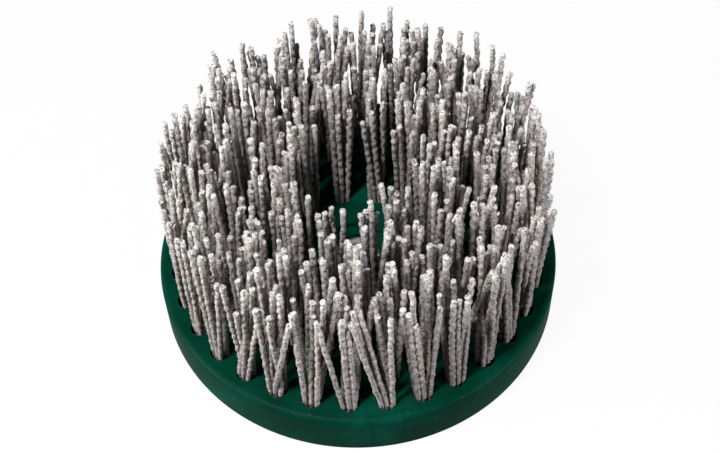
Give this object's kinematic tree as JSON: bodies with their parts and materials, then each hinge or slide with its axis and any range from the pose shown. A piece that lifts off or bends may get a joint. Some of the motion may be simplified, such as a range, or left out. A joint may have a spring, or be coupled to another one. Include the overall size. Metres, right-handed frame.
{
  "type": "abrasive disc brush",
  "caption": "Round disc brush with crimped abrasive nylon tufts on a green plastic backing and a threaded steel insert for a grinder or polisher spindle.",
  "frame": {"origin": "centre of the flat back face, on the spindle axis", "axes": "+Z along the spindle axis, from the back face towards the bristle tips"},
  "size_m": [0.1, 0.1, 0.0522],
  "materials": {
    "disc_plastic": "bottle green moulded plastic, semi gloss, with faint turning marks",
    "insert_steel": "bright machined steel",
    "anchor_wire": "drawn flat wire",
    "grit_nylon": "matt grey nylon filament loaded with abrasive grit"
  },
  "bodies": {
    "root": {"backing_disc": "disc_plastic", "ring_1_anchor_wires": "anchor_wire", "ring_1_tufts_01": "grit_nylon", "ring_1_tufts_02": "grit_nylon", "ring_1_tufts_03": "grit_nylon", "ring_1_tufts_04": "grit_nylon", "ring_1_tufts_05": "grit_nylon", "ring_1_tufts_06": "grit_nylon", "ring_1_tufts_07": "grit_nylon", "ring_1_tufts_08": "grit_nylon", "ring_1_tufts_09": "grit_nylon", "ring_1_tufts_10": "grit_nylon", "ring_1_tufts_11": "grit_nylon", "ring_1_tufts_12": "grit_nylon", "ring_2_anchor_wires": "anchor_wire", "ring_2_tufts_01": "grit_nylon", "ring_2_tufts_02": "grit_nylon", "ring_2_tufts_03": "grit_nylon", "ring_2_tufts_04": "grit_nylon", "ring_2_tufts_05": "grit_nylon", "ring_2_tufts_06": "grit_nylon", "ring_2_tufts_07": "grit_nylon", "ring_2_tufts_08": "grit_nylon", "ring_3_anchor_wires": "anchor_wire", "ring_3_tufts_01": "grit_nylon", "ring_3_tufts_02": "grit_nylon", "ring_3_tufts_03": "grit_nylon", "ring_3_tufts_04": "grit_nylon", "ring_3_tufts_05": "grit_nylon", "ring_3_tufts_06": "grit_nylon", "ring_3_tufts_07": "grit_nylon", "ring_4_anchor_wires": "anchor_wire", "ring_4_tufts_01": "grit_nylon", "ring_4_tufts_02": "grit_nylon", "ring_4_tufts_03": "grit_nylon", "ring_4_tufts_04": "grit_nylon", "ring_4_tufts_05": "grit_nylon", "ring_4_tufts_06": "grit_nylon", "ring_4_tufts_07": "grit_nylon", "ring_4_tufts_08": "grit_nylon", "ring_4_tufts_09": "grit_nylon", "ring_5_anchor_wires": "anchor_wire", "ring_5_tufts_01": "grit_nylon", "ring_5_tufts_02": "grit_nylon", "ring_5_tufts_03": "grit_nylon", "ring_5_tufts_04": "grit_nylon", "ring_5_tufts_05": "grit_nylon", "ring_5_tufts_06": "grit_nylon", "ring_5_tufts_07": "grit_nylon", "ring_5_tufts_08": "grit_nylon", "threaded_insert": "insert_steel"}
  },
  "joints": []
}
